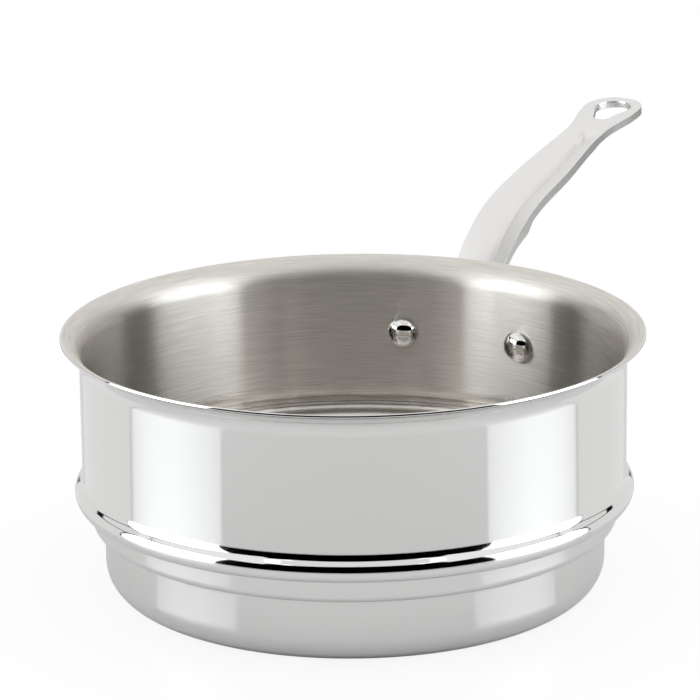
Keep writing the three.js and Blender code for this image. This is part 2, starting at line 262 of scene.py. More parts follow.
def card_paper(spot):
    aside = abs(math.atan2(spot.x, -spot.y))
    if spot.z > CARD_HEIGHT - LID_TOLERANCE:
        under_lamp = abs(spot.x) < TOP_SIZE / 2 and spot.y < TOP_SIZE / 2 - TOP_FORWARD
        return BLACK if under_lamp else CEILING
    ceiling_foot = CEILING_START if aside < FRONT_REACH else CEILING_SIDE
    if spot.z > ceiling_foot and aside > CEILING_EDGE:
        return CEILING
    velvet_reach = SIDE_REACH if spot.z > SIDE_START else FRONT_REACH
    if aside < velvet_reach or spot.z < HORIZON:
        return BLACK
    return DUSK if aside < DUSK_REACH else PALE


def stage_cards(bm, name):
    bmesh.ops.transform(bm, matrix=turn_to_view, verts=bm.verts)
    thing = mesh_object(bm, name, papers)
    thing.visible_camera = False
    thing.visible_diffuse = False
    thing.visible_shadow = False
    print(name, len(thing.data.polygons), "faces")


bm = bmesh.new()
edge = [bm.verts.new((0, -CARD_RADIUS, z)) for z in CARD_ROWS]
edge += [bm.verts.new((0, -r, CARD_HEIGHT)) for r in LID_RADII]
bars = [bm.edges.new(pair) for pair in zip(edge, edge[1:])]
bmesh.ops.spin(
    bm, geom=edge + bars, cent=(0, 0, 0), axis=(0, 0, 1), angle=2 * math.pi,
    steps=CARD_STEPS, use_merge=True)
for face in bm.faces:
    face.material_index = card_paper(face.calc_center_median())
stage_cards(bm, "cards")

# %% [markdown]
# Two low bounce cards stand close beside the pot and brighten the bead and the cup towards the
# sides. A black line across each card draws the thin dark line along the bead there.

# %% Bounce cards
BOUNCE_RADIUS = 0.19
BOUNCE_RISE = (0.002, 0.079, 0.0855, 0.13)
BOUNCE_REACH = (math.radians(80), math.radians(125))
BOUNCE_STEPS = 16

bm = bmesh.new()
for side in (1, -1):
    start = Matrix.Rotation(side * BOUNCE_REACH[0], 4, "Z")
    edge = [bm.verts.new(start @ Vector((0, -BOUNCE_RADIUS, z))) for z in BOUNCE_RISE]
    bars = [bm.edges.new(pair) for pair in zip(edge, edge[1:])]
    bmesh.ops.spin(
        bm, geom=edge + bars, cent=(0, 0, 0), axis=(0, 0, 1),
        angle=side * (BOUNCE_REACH[1] - BOUNCE_REACH[0]), steps=BOUNCE_STEPS)
for face in bm.faces:
    line = BOUNCE_RISE[1] < face.calc_center_median().z < BOUNCE_RISE[2]
    face.material_index = BLACK if line else BOUNCE
stage_cards(bm, "bounce_cards")

# %% [markdown]
# The table is pale and glossy. Its gloss is what carries the softboxes' columns to the lower
# wall of the pot, which looks down at the table. The camera sees it as white paper, but near the
# pot part of the table's own shading stays, and with it the pot's soft shadow. Right under the pot,
# where it is seen through the steam holes, all of that shading stays.

# %% Table
TABLE_RADIUS = 4.0
TABLE_SEGMENTS = 96
TABLE_ROUGHNESS = 0.12
TABLE_IOR = 1.17
TONE_REACH = (0.42, 0.62)
TABLE_TONES = (0.70, 0.42)
SHADOW_REACH = (0.09, 0.20)
SHADOW_SHARE = 0.10
UNDER_POT = 0.088

table_white = bpy.data.materials.new("table_white")
table_white.use_nodes = True
tree = table_white.node_tree
gloss = tree.nodes["Principled BSDF"]
gloss.inputs["Roughness"].default_value = TABLE_ROUGHNESS
gloss.inputs["IOR"].default_value = TABLE_IOR
paper = tree.nodes.new("ShaderNodeEmission")
away = tree.nodes.new("ShaderNodeVectorMath")
away.operation = "LENGTH"
tree.links.new(tree.nodes.new("ShaderNodeTexCoord").outputs["Object"], away.inputs[0])
away = away.outputs["Value"]
tone = map_range(tree, away, (*TONE_REACH, *TABLE_TONES), smooth=True)
tree.links.new(tone, gloss.inputs["Base Color"])
fade = map_range(tree, away, (*SHADOW_REACH, 1 - SHADOW_SHARE, 1.0), smooth=True)
open_table = math_node(tree, "GREATER_THAN", away, UNDER_POT)
white_share = math_node(tree, "MULTIPLY", fade, open_table)
path = tree.nodes.new("ShaderNodeLightPath")
share = math_node(tree, "MULTIPLY", path.outputs["Is Camera Ray"], white_share)
mix = tree.nodes.new("ShaderNodeMixShader")
tree.links.new(share, mix.inputs["Fac"])
tree.links.new(gloss.outputs[0], mix.inputs[1])
tree.links.new(paper.outputs[0], mix.inputs[2])
tree.links.new(mix.outputs[0], tree.nodes["Material Output"].inputs["Surface"])
bm = bmesh.new()
bmesh.ops.create_circle(bm, cap_ends=True, radius=TABLE_RADIUS, segments=TABLE_SEGMENTS)
mesh_object(bm, "table", [table_white])
print("table radius", TABLE_RADIUS)

# %% [markdown]
# ## Finishes
# Three finishes cover the object: the mirror polish outside and on the rivets, the brushing round
# the inside and the satin casting. Brushing is a stack of fine lines that run round the pot, so
# the noise is drawn out along the circumference: the direction from the axis stands in for the
# angle, which leaves no seam, and height plus radius counts the lines.

# %% Brush lines, a node group
AXIS_GUARD = 0.001
STREAK_DETAIL = 3.0
STREAK_ROUGHNESS = 0.6


def node_group(name, inputs, outputs):
    group = bpy.data.node_groups.new(name, "ShaderNodeTree")
    for label, value in inputs.items():
        socket = group.interface.new_socket(label, in_out="INPUT", socket_type="NodeSocketFloat")
        socket.default_value = value
    for label in outputs:
        group.interface.new_socket(label, in_out="OUTPUT", socket_type="NodeSocketFloat")
    entry = group.nodes.new("NodeGroupInput")
    leave = group.nodes.new("NodeGroupOutput")
    return group, entry.outputs, leave.inputs


brush_lines, entry, leave = node_group(
    "brush_lines", {"Fineness": 2000.0, "Reach": 6.0}, ["Lines"])


def brush_math(operation, a, b=None):
    return math_node(brush_lines, operation, a, b)


split = brush_lines.nodes.new("ShaderNodeSeparateXYZ")
where = brush_lines.nodes.new("ShaderNodeTexCoord").outputs["Object"]
brush_lines.links.new(where, split.inputs[0])
x, y, z = split.outputs
squares = brush_math("ADD", brush_math("MULTIPLY", x, x), brush_math("MULTIPLY", y, y))
radius = brush_math("MAXIMUM", brush_math("SQRT", squares), AXIS_GUARD)
drawn = brush_lines.nodes.new("ShaderNodeCombineXYZ")
for axis, socket in zip((x, y), drawn.inputs):
    around = brush_math("MULTIPLY", brush_math("DIVIDE", axis, radius), entry["Reach"])
    brush_lines.links.new(around, socket)
count = brush_math("MULTIPLY", brush_math("ADD", z, radius), entry["Fineness"])
brush_lines.links.new(count, drawn.inputs["Z"])
streak = brush_lines.nodes.new("ShaderNodeTexNoise")
streak.inputs["Scale"].default_value = 1.0
streak.inputs["Detail"].default_value = STREAK_DETAIL
streak.inputs["Roughness"].default_value = STREAK_ROUGHNESS
brush_lines.links.new(drawn.outputs[0], streak.inputs["Vector"])
brush_lines.links.new(streak.outputs["Fac"], leave["Lines"])
print("group:", brush_lines.name, len(brush_lines.nodes), "nodes")

# %% [markdown]
# Hand polish is never quite even. A slow cloud of haze shifts the gloss a little over the surface,
# and the polished and cast steels use it with their own strengths.

# %% Polish haze, a node group
CLOUD_DETAIL = 4.0
NOISE_SPAN = (0.3, 0.7)

polish_haze, entry, leave = node_group(
    "polish_haze", {"Size": 30.0, "Low": 0.05, "High": 0.08}, ["Roughness"])
cloud = polish_haze.nodes.new("ShaderNodeTexNoise")
cloud.inputs["Detail"].default_value = CLOUD_DETAIL
where = polish_haze.nodes.new("ShaderNodeTexCoord").outputs["Object"]
polish_haze.links.new(where, cloud.inputs["Vector"])
polish_haze.links.new(entry["Size"], cloud.inputs["Scale"])
spread = map_range(
    polish_haze, cloud.outputs["Fac"], (*NOISE_SPAN, entry["Low"], entry["High"]))
polish_haze.links.new(spread, leave["Roughness"])
print("group:", polish_haze.name, len(polish_haze.nodes), "nodes")

# %% [markdown]
# The shaders themselves stay in the materials. The mirror polish outside gets the haze and the
# faintest spinning lines. The rivets have a polish of their own, and the casting is left satin, as
# it comes from the blasting cabinet, so its haze is wide.

# %% Polished and cast steel
BUMP_DEPTH = 0.0002
SPIN_MARKS = 0.02


def place_group(tree, group, **values):
    node = tree.nodes.new("ShaderNodeGroup")
    node.node_tree = group
    for label, value in values.items():
        node.inputs[label].default_value = value
    return node.outputs


def hazy_steel(name, color, size, low, high):
    material = bpy.data.materials.new(name)
    material.use_nodes = True
    tree = material.node_tree
    shader = tree.nodes["Principled BSDF"]
    shader.inputs["Base Color"].default_value = (*color, 1)
    shader.inputs["Metallic"].default_value = 1.0
    haze = place_group(tree, polish_haze, Size=size, Low=low, High=high)
    tree.links.new(haze["Roughness"], shader.inputs["Roughness"])
    return material


def bump(tree, shader, height, strength):
    node = tree.nodes.new("ShaderNodeBump")
    node.inputs["Distance"].default_value = BUMP_DEPTH
    feed(tree, node.inputs["Strength"], strength)
    tree.links.new(height, node.inputs["Height"])
    tree.links.new(node.outputs["Normal"], shader.inputs["Normal"])


mirror_steel = hazy_steel(
    "mirror_steel", (0.79, 0.785, 0.775), size=25.0, low=0.045, high=0.075)
satin_steel = hazy_steel("satin_steel", (0.79, 0.78, 0.765), size=60.0, low=0.30, high=0.37)
rivet_steel = hazy_steel("rivet_steel", (0.80, 0.79, 0.775), size=80.0, low=0.04, high=0.08)
tree = mirror_steel.node_tree
lines = place_group(tree, brush_lines, Fineness=900.0, Reach=5.0)["Lines"]
bump(tree, tree.nodes["Principled BSDF"], lines, SPIN_MARKS)
print("materials:", mirror_steel.name, satin_steel.name, rivet_steel.name)

# %% [markdown]
# The inside is brushed while the pot turns. Every line is a fine groove, so the gloss is stretched
# up and down, across the lines, and that is why the softboxes show there as tall columns. A Glossy
# shader is used, because it stretches further than the Principled one. The rings in the base are
# tighter than on the wall, and the flare is satin with no direction, so masks by height fade one
# finish into the next.

# %% Brushed steel
BASE_TIGHT = (0.044, 0.052)
FLARE_SATIN = (0.092, 0.103)
WALL_STRETCH = 0.8
WALL_GLOSS = (0.28, 0.33)
BASE_GLOSS = -0.15
FLARE_GLOSS = 0.27
GROOVE_TINT = (0.42, 0.403, 0.378, 1)
RIDGE_TINT = (1.0, 0.965, 0.91, 1)
BRUSH_MARKS = 0.10

brushed_steel = bpy.data.materials.new("brushed_steel")
brushed_steel.use_nodes = True
tree = brushed_steel.node_tree
tree.nodes.remove(tree.nodes["Principled BSDF"])
shader = tree.nodes.new("ShaderNodeBsdfAnisotropic")
tree.links.new(shader.outputs["BSDF"], tree.nodes["Material Output"].inputs["Surface"])
lines = place_group(tree, brush_lines, Fineness=3600.0, Reach=6.0)["Lines"]
split = tree.nodes.new("ShaderNodeSeparateXYZ")
tree.links.new(tree.nodes.new("ShaderNodeTexCoord").outputs["Object"], split.inputs[0])
height = split.outputs["Z"]
on_wall = map_range(tree, height, (*FLARE_SATIN, 1.0, 0.0), smooth=True)
on_flare = math_node(tree, "SUBTRACT", 1.0, on_wall)
tree.links.new(math_node(tree, "MULTIPLY", on_wall, WALL_STRETCH), shader.inputs["Anisotropy"])
wall_gloss = map_range(tree, lines, (*NOISE_SPAN, *WALL_GLOSS))
base_gloss = map_range(tree, height, (*BASE_TIGHT, BASE_GLOSS, 0.0), smooth=True)
flare_gloss = math_node(tree, "MULTIPLY", on_flare, FLARE_GLOSS)
gloss = math_node(tree, "ADD", math_node(tree, "ADD", wall_gloss, flare_gloss), base_gloss)
tree.links.new(gloss, shader.inputs["Roughness"])
tint = tree.nodes.new("ShaderNodeMix")
tint.data_type = "RGBA"
tint.inputs["A"].default_value = GROOVE_TINT
tint.inputs["B"].default_value = RIDGE_TINT
tree.links.new(lines, tint.inputs["Factor"])
tree.links.new(tint.outputs["Result"], shader.inputs["Color"])
ring_way = tree.nodes.new("ShaderNodeTangent")
ring_way.direction_type = "RADIAL"
ring_way.axis = "Z"
tree.links.new(ring_way.outputs[0], shader.inputs["Tangent"])
bump(tree, shader, lines, math_node(tree, "MULTIPLY", on_wall, BRUSH_MARKS))
print("material:", brushed_steel.name, len(tree.nodes), "nodes")

# %% [markdown]
# ## The drawn shell
# The pot is one sheet of steel pressed into a stepped cup. On a lathe or a press its form is a
# profile turned about the axis, so that is how it is made here: the corners of the profile come
# first, and each is rounded by a vertex bevel of its own size. A bevel is held back where two
# neighbours would run into each other.

# %% Profile of the shell
WELD = 0.001 * MM
SHEET = 1.2 * MM
WALL_RADIUS = 107.1 * MM
BEAD_RADIUS = WALL_RADIUS + 3.1 * MM
BAND_RADIUS = WALL_RADIUS - 3.4 * MM
CUP_RADIUS = BAND_RADIUS - 4.95 * MM
STEP_Z = 27.0 * MM
BEAD_Z = STEP_Z + 9.5 * MM
BEAD_TOP_Z = BEAD_Z + 6.4 * MM
SHOULDER_Z = BEAD_TOP_Z + 3.5 * MM
FLARE_Z = SHOULDER_Z + 46.55 * MM
FLARE_RADIUS = 10.3 * MM
FLARE_ANGLE = math.radians(73.8)
BASE_BEND = 12.5 * MM
EDGE_BEND = 1.6 * MM
STEP_BEND = 3.7 * MM
BEAD_LOW_BEND = 4.7 * MM
BEAD_TOP_BEND = 4.6 * MM
FLOOR_EDGE = CUP_RADIUS - BASE_BEND - 1.5 * MM
flare_reach = FLARE_RADIUS * math.tan(FLARE_ANGLE / 2)
LIP_RADIUS = WALL_RADIUS + flare_reach * math.sin(FLARE_ANGLE)
LIP_Z = FLARE_Z + flare_reach * (1 + math.cos(FLARE_ANGLE))

# Radius, height, bend and segments of each corner
corners = [
    (FLOOR_EDGE, 0, 0, 0),
    (CUP_RADIUS, 0, BASE_BEND, 16),
    (CUP_RADIUS, STEP_Z, EDGE_BEND, 6),
    (BAND_RADIUS, STEP_Z, STEP_BEND, 10),
    (BAND_RADIUS, BEAD_Z, EDGE_BEND, 6),
    (BEAD_RADIUS, BEAD_Z, BEAD_LOW_BEND, 12),
    (BEAD_RADIUS, BEAD_TOP_Z, BEAD_TOP_BEND, 12),
    (WALL_RADIUS, SHOULDER_Z, BEAD_TOP_BEND, 12),
    (WALL_RADIUS, FLARE_Z + flare_reach, FLARE_RADIUS, 18),
    (LIP_RADIUS, LIP_Z, 0, 0),
]
points = [Vector((r, 0, z)) for r, z, _, _ in corners]
inner_corners = range(1, len(points) - 1)
reaches = [0.0] * len(points)
for i in inner_corners:
    turn = (points[i] - points[i - 1]).angle(points[i + 1] - points[i])
    reaches[i] = corners[i][2] * math.tan(turn / 2)
spans = [(b - a).length for a, b in zip(points, points[1:])]
rooms = [
    min(1, span / (a + b)) if a + b else 1 for span, a, b in zip(spans, reaches, reaches[1:])]
shell = bmesh.new()
wire = [shell.verts.new(p) for p in points]
for a, b in zip(wire, wire[1:]):
    shell.edges.new((a, b))
for i in inner_corners:
    bmesh.ops.bevel(
        shell, geom=[wire[i]], offset=reaches[i] * min(rooms[i - 1], rooms[i]),
        offset_type="OFFSET", affect="VERTICES", segments=corners[i][3], profile=0.5, material=-1)
bmesh.ops.remove_doubles(shell, verts=shell.verts, dist=WELD)
print("profile points:", len(shell.verts), "lip", round(LIP_RADIUS, 5), round(LIP_Z, 5))

# %% [markdown]
# The real sheet is drawn round a die. Here the wire is spun full circle about the axis, and the
# last ring is merged with the first, so the skin has no seam.

# %% Spin the profile
SPIN_STEPS = 240
bmesh.ops.spin(
    shell, geom=shell.verts[:] + shell.edges[:], cent=(0, 0, 0), axis=(0, 0, 1),
    angle=2 * math.pi, steps=SPIN_STEPS, use_merge=True)
for face in shell.faces:
    face.smooth = True
print("shell skin:", len(shell.faces), "faces")

# %% [markdown]
# The floor is punched with rings of steam holes, six more in each ring than in the one inside it.
# Circles are drawn for the holes and the floor is filled between them and its edge, which leaves
# the holes open with no cutting.

# %% Perforated floor
HOLE_RADIUS = 3.0 * MM
HOLE_PITCH = 14.0 * MM
HOLE_RINGS = 5
HOLE_STEP = 6
HOLE_SEGMENTS = 20
rims = [e for e in shell.edges if e.is_boundary and all(v.co.z < SHEET for v in e.verts)]
for ring in range(1, HOLE_RINGS + 1):
    for k in range(ring * HOLE_STEP):
        spot = Matrix.Rotation(2 * math.pi * k / (ring * HOLE_STEP), 4, "Z")
        spot = spot @ Matrix.Translation((ring * HOLE_PITCH, 0, 0))
        hole = bmesh.ops.create_circle(
            shell, cap_ends=False, radius=HOLE_RADIUS, segments=HOLE_SEGMENTS, matrix=spot)
        rims += list({e for v in hole["verts"] for e in v.link_edges})
fill = bmesh.ops.triangle_fill(
    shell, use_beauty=True, use_dissolve=False, edges=rims, normal=(0, 0, -1))
print("floor faces:", len([f for f in fill["geom"] if isinstance(f, bmesh.types.BMFace)]))

# %% [markdown]
# The skin made so far is the outside of the sheet. It is turned to face outwards and then thickened
# inwards, so the sheet is equally thick all over, as drawn steel nearly is. The new inner faces get
# the brushed finish. The cut edges at the lip and in the holes belong to the polished outside.

# %% Thickness and finish of the shell
bmesh.ops.recalc_face_normals(shell, faces=shell.faces)
wall_face = max(shell.faces, key=lambda f: f.calc_area() if f.smooth else 0)
outward = wall_face.calc_center_median().xy.to_3d()
if wall_face.normal.dot(outward) < 0:
    bmesh.ops.reverse_faces(shell, faces=shell.faces)
skin = set(shell.faces)
bmesh.ops.solidify(shell, geom=shell.faces[:], thickness=SHEET)
rim_faces = {
    f for f in shell.faces
    if f not in skin and any(n in skin for e in f.edges for n in e.link_faces)}
for face in shell.faces:
    face.material_index = 0 if face in skin or face in rim_faces else 1
    face.smooth = face.calc_center_median().xy.length > FLOOR_EDGE or face in rim_faces
print("shell:", len(skin), "outside,", len(rim_faces), "on edges,", len(shell.faces), "in all")

# %% [markdown]
# A cut sheet edge is sharp until it is dressed. The lip is rolled over on the buffing wheel until
# it is nearly round, and the punched holes are only deburred, so the lip gets a wide bevel and the
# holes a narrow one.

# %% Round the lip and the holes
LIP_ROUND = 0.4 * MM
LIP_SEGMENTS = 4
HOLE_ROUND = 0.3 * MM
BURR_SEGMENTS = 2


def make_piece(bm, name, node, materials):
    piece = mesh_object(bm, name, materials)
    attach(piece, "root")
    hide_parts(node)
    print(name, len(piece.data.polygons), "faces")
    return piece


sharp = {e for f in rim_faces for e in f.edges if any(n not in rim_faces for n in e.link_faces)}
lip_edges = [e for e in sharp if e.verts[0].co.z > FLARE_Z]
hole_edges = [e for e in sharp if e.verts[0].co.z < FLARE_Z]
dressings = ((hole_edges, HOLE_ROUND, BURR_SEGMENTS), (lip_edges, LIP_ROUND, LIP_SEGMENTS))
for edges, size, segments in dressings:
    dressed = bmesh.ops.bevel(
        shell, geom=edges, offset=size, offset_type="OFFSET", affect="EDGES", segments=segments,
        profile=0.5, material=-1)
    for face in dressed["faces"]:
        face.smooth = True
        face.material_index = 0
print("dressed edges:", len(lip_edges), "on the lip,", len(hole_edges), "on holes")
make_piece(shell, "drawn_shell", "steamer_shell", [mirror_steel, brushed_steel])

# %% [markdown]
# ## Rivets
# Two solid rivets hold the handle. Each has a polished dome inside the pot and a flat hammered
# button outside. A quarter round from a vertex bevel, squashed to the height of the dome, gives the
# profile, and the spin turns it about the rivet's own axis.

# %% Rivet profile and spin
RIVET_Z = LIP_Z - 30.5 * MM
RIVET_ASIDE = 26.25 * MM
RIVET_ANGLE = math.asin(RIVET_ASIDE / (WALL_RADIUS - SHEET))
FIT_GAP = 0.3 * MM
FLANGE_THICKNESS = 3.2 * MM
FLANGE_INNER = WALL_RADIUS + FIT_GAP
FLANGE_OUTER = FLANGE_INNER + FLANGE_THICKNESS
HEAD_RADIUS = 6.5 * MM
HEAD_HEIGHT = 4.2 * MM
HEAD_SEAT = 105.17 * MM
HEAD_SKIRT = 0.55 * MM
SHANK_RADIUS = 3.0 * MM
BUTTON_RADIUS = 4.75 * MM
BUTTON_HEIGHT = 1.8 * MM
BUTTON_SEAT = FLANGE_OUTER + FIT_GAP
DOME_SEGMENTS = 12
RIVET_STEPS = 64


def quarter_round(bm, radius, height, seat):
    tip, corner, foot = (bm.verts.new(p) for p in ((0, 0, 1), (1, 0, 1), (1, 0, 0)))
    bm.edges.new((tip, corner))
    bm.edges.new((corner, foot))
    arc = bmesh.ops.bevel(
        bm, geom=[corner], offset=1.0, offset_type="OFFSET", affect="VERTICES",
        segments=DOME_SEGMENTS, profile=0.5, material=-1)
    verts = list({tip, foot, *arc["verts"]} & set(bm.verts))
    bmesh.ops.scale(bm, verts=verts, vec=(radius, 1, height))
    bmesh.ops.translate(bm, verts=verts, vec=(0, 0, seat))


def rivet(name, node, angle):
    bm = bmesh.new()
    quarter_round(bm, HEAD_RADIUS, -HEAD_HEIGHT, HEAD_SEAT)
    quarter_round(bm, BUTTON_RADIUS, BUTTON_HEIGHT, BUTTON_SEAT)
    bmesh.ops.remove_doubles(bm, verts=bm.verts, dist=WELD)
    head = max((v for v in bm.verts if v.co.z <= HEAD_SEAT), key=lambda v: v.co.x)
    button = max((v for v in bm.verts if v.co.z >= BUTTON_SEAT), key=lambda v: v.co.x)
    skirt_end = HEAD_SEAT + HEAD_SKIRT
    inner = ((HEAD_RADIUS, skirt_end), (SHANK_RADIUS, skirt_end), (SHANK_RADIUS, BUTTON_SEAT))
    chain = [head, *(bm.verts.new((r, 0, z)) for r, z in inner), button]
    for a, b in zip(chain, chain[1:]):
        bm.edges.new((a, b))
    bmesh.ops.spin(
        bm, geom=bm.verts[:] + bm.edges[:], cent=(0, 0, 0), axis=(0, 0, 1), angle=2 * math.pi,
        steps=RIVET_STEPS, use_merge=True)
    bmesh.ops.remove_doubles(bm, verts=bm.verts, dist=WELD)
    bmesh.ops.recalc_face_normals(bm, faces=bm.faces)
    for face in bm.faces:
        face.smooth = True
    lie = Matrix.Rotation(angle, 4, "Z") @ Matrix.Translation((0, 0, RIVET_Z))
    lie = lie @ Matrix.Rotation(math.pi / 2, 4, "Y")
    bmesh.ops.transform(bm, matrix=lie, verts=bm.verts)
    make_piece(bm, name, node, [rivet_steel])


rivet("right_rivet", "rivet_right", -RIVET_ANGLE)
rivet("left_rivet", "rivet_left", RIVET_ANGLE)

# %% [markdown]
# ## The cast handle
# The handle is one casting: a bat-shaped flange that hugs the wall, a channelled bar that rises from
# it and bends over to the hand, and a flat loop to hang it by. A subdivision cage suits a casting,
# because every meeting of two forms comes out as a soft fillet. The bar follows a route in side
# view, made of two straights and two bends.

# %% Route of the bar
BEND_RADIUS = 100 * MM
NECK_BEND = 250 * MM
ROOT_SLOPE, GRIP_SLOPE, LOOP_SLOPE = (math.radians(a) for a in (51.0, 10.0, 7.2))
GRIP_LENGTH = 47 * MM
LOOP_LENGTH = 43 * MM
LOOP_RADIUS = 13.3 * MM
ROOT_PLACE = (FLANGE_INNER + 0.3 * MM, RIVET_Z + 13 * MM)

# Length and slopes at the start and the end of each stretch
route = [
    (BEND_RADIUS * (ROOT_SLOPE - GRIP_SLOPE), ROOT_SLOPE, GRIP_SLOPE),
    (GRIP_LENGTH, GRIP_SLOPE, GRIP_SLOPE),
    (NECK_BEND * (GRIP_SLOPE - LOOP_SLOPE), GRIP_SLOPE, LOOP_SLOPE),
    (LOOP_LENGTH + LOOP_RADIUS, LOOP_SLOPE, LOOP_SLOPE),
]
NECK_END = sum(length for length, _, _ in route[:3])
LOOP_CENTRE = NECK_END + LOOP_LENGTH


def along(distance):
    x, z = ROOT_PLACE
    slope = ROOT_SLOPE
    left = distance
    for length, start, end in route:
        part = min(left, length)
        reached = start + (end - start) * part / length
        half = (reached - slope) / 2
        chord = part * (math.sin(half) / half if half else 1)
        x += chord * math.cos(slope + half)
        z += chord * math.sin(slope + half)
        slope = reached
        left -= part
        if left <= 0:
            break
    return x, z, slope


def on_bar(distance, across, depth):
    x, z, slope = along(distance)
    return Vector((x + depth * math.sin(slope), across, z - depth * math.cos(slope)))


for label, distance in (("root", 0), ("tip", LOOP_CENTRE + LOOP_RADIUS)):
    print(label, "of the bar at", [round(c, 4) for c in along(distance)])

# %% [markdown]
# Seen from above the bar is broad at its root, slim in the stem, fuller in the grip, waisted at the
# neck and round at the loop. Each change eases in and out, as a pattern maker files a wooden
# pattern. Widths are in millimetres, and places are measured along the bar.

# %% Width of the bar
STEM_WIDTH, GRIP_WIDTH = 20.6, 23.0
ROOT_SWELL, NECK_WAIST, LOOP_SWELL = 9.4, -4.8, 8.4
ROOT_BLEND = 14 * MM
GRIP_START = 60 * MM
GRIP_TAPER = 50 * MM
NECK = NECK_END + 6 * MM
LOOP_START = NECK + 6 * MM


def ease(at, start, end, low, high):
    t = min(max((at - start) / (end - start), 0), 1)
    return low + (high - low) * t * t * (3 - 2 * t)


def half_width(s):
    past = s - LOOP_CENTRE
    if past > 0:
        return math.sqrt(max(LOOP_RADIUS ** 2 - past ** 2, 0))
    width = ease(s, 0, GRIP_START, STEM_WIDTH, GRIP_WIDTH)
    width += ease(s, 0, ROOT_BLEND, ROOT_SWELL, 0)
    width += ease(s, NECK - GRIP_TAPER, NECK, 0, NECK_WAIST)
    width += ease(s, LOOP_START, LOOP_CENTRE, 0, LOOP_SWELL)
    return width / 2 * MM


for label, s in (("root", 0), ("grip", NECK - GRIP_TAPER), ("neck", NECK)):
    print("half width at the", label, round(half_width(s), 4))

# %% [markdown]
# Across the bar runs a soft V channel with a narrow notch in its valley. It is deepest at the root,
# shallows towards the grip and runs out at the neck. The belly underneath runs parallel to it, so
# the casting is evenly thick. The lower edges drop to a small heel, where the index finger stops.

# %% Sections of the bar
ACROSS = (-1, -0.9, -0.62, -0.38, -0.13, 0, 0.13, 0.38, 0.62, 0.9, 1)
MIDDLE = len(ACROSS) // 2
SOFT = 0.1
NOTCH = 1.2 * MM
NOTCH_REACH = 0.16
NOTCH_FULL = 2.0 * MM
WEB = 2.8 * MM

# Depths in millimetres, and the places along the bar where they change
STEM_GROOVE, GRIP_GROOVE = 8.5, 4.2
GROOVE_SHALLOWS = (25 * MM, 80 * MM)
GROOVE_LOSS = 0.3
LOSS_START, LOSS_LENGTH = 100 * MM, 38 * MM
GROOVE_RUNOUT = (NECK_END + 4 * MM, NECK_END + 13 * MM)
HEEL_DEPTH = 2.1
HEEL_START, HEEL_PLACE, HEEL_END = 30 * MM, 48 * MM, 53 * MM
GRIP_EDGE, LOOP_EDGE = 4.0, 3.3
EDGE_BLEND = 4 * MM


def groove(s):
    loss = GROOVE_LOSS * min(max((s - LOSS_START) / LOSS_LENGTH, 0), 1)
    deep = ease(s, *GROOVE_SHALLOWS, STEM_GROOVE, GRIP_GROOVE)
    return deep * (1 - loss) * ease(s, *GROOVE_RUNOUT, 1, 0) * MM


def edge_depth(s):
    if s < HEEL_PLACE:
        heel = ease(s, HEEL_START, HEEL_PLACE, 0, HEEL_DEPTH)
    else:
        heel = ease(s, HEEL_PLACE, HEEL_END, HEEL_DEPTH, 0)
    return (ease(s, NECK_END, NECK_END + EDGE_BLEND, GRIP_EDGE, LOOP_EDGE) + heel) * MM


def valley(t):
    crest = math.hypot(1, SOFT)
    return (crest - math.hypot(t, SOFT)) / (crest - SOFT)


def section_depths(s, t):
    deep = groove(s)
    notch = NOTCH * max(1 - abs(t) / NOTCH_REACH, 0) * min(deep / NOTCH_FULL, 1)
    top = deep * valley(t) + notch
    edge = edge_depth(s)
    bottom = edge + max(deep + WEB - edge, 0) * (1 - t * t)
    return top, (top + bottom) / 2, bottom


for label, s in (("root", 0), ("grip", NECK - GRIP_TAPER), ("neck", NECK)):
    print("channel at the", label, round(groove(s), 4))

# %% [markdown]
# The cage starts at the flange: a flat grid is laid out to the bat shape, with a chevron of faces in
# the middle where the bar will leave, and is bent to the wall and given its thickness. Each vertex
# of the chevron gets a number for its place in the section, which later rings inherit.

# %% Flange cage
EARS = (20.5, 26.9, 32.5, 36.0)
EAR_TOPS = (10.8, 9.0, 6.8, 1.6)
EAR_FEET = (-10.2, -9.0, -6.8, -1.6)
ROOT_HALF = 15.0
ROOT_TOP = 14.5
ROOT_CREST, ROOT_VALLEY = 13.2, 9.8
ROOT_BELLY, BELLY_DROP = 10.0, 11.0
FLANGE_FOOT, FOOT_RISE = -12, 3
GRID_ROWS = 4
CHEVRON_TOP = 3
columns = [-u for u in reversed(EARS)] + [ROOT_HALF * t for t in ACROSS] + list(EARS)


def flange_rows(u):
    if abs(u) in EARS:
        ear = EARS.index(abs(u))
        top, foot = EAR_TOPS[ear], EAR_FEET[ear]
        return foot, foot / 2, 0.0, top / 2, top
    t = u / ROOT_HALF
    over = ROOT_CREST - ROOT_VALLEY * valley(t)
    under = ROOT_BELLY - BELLY_DROP * (1 - t * t)
    foot = FLANGE_FOOT + FOOT_RISE * (u / EARS[1]) ** 2
    return foot, under, (over + under) / 2, over, ROOT_TOP


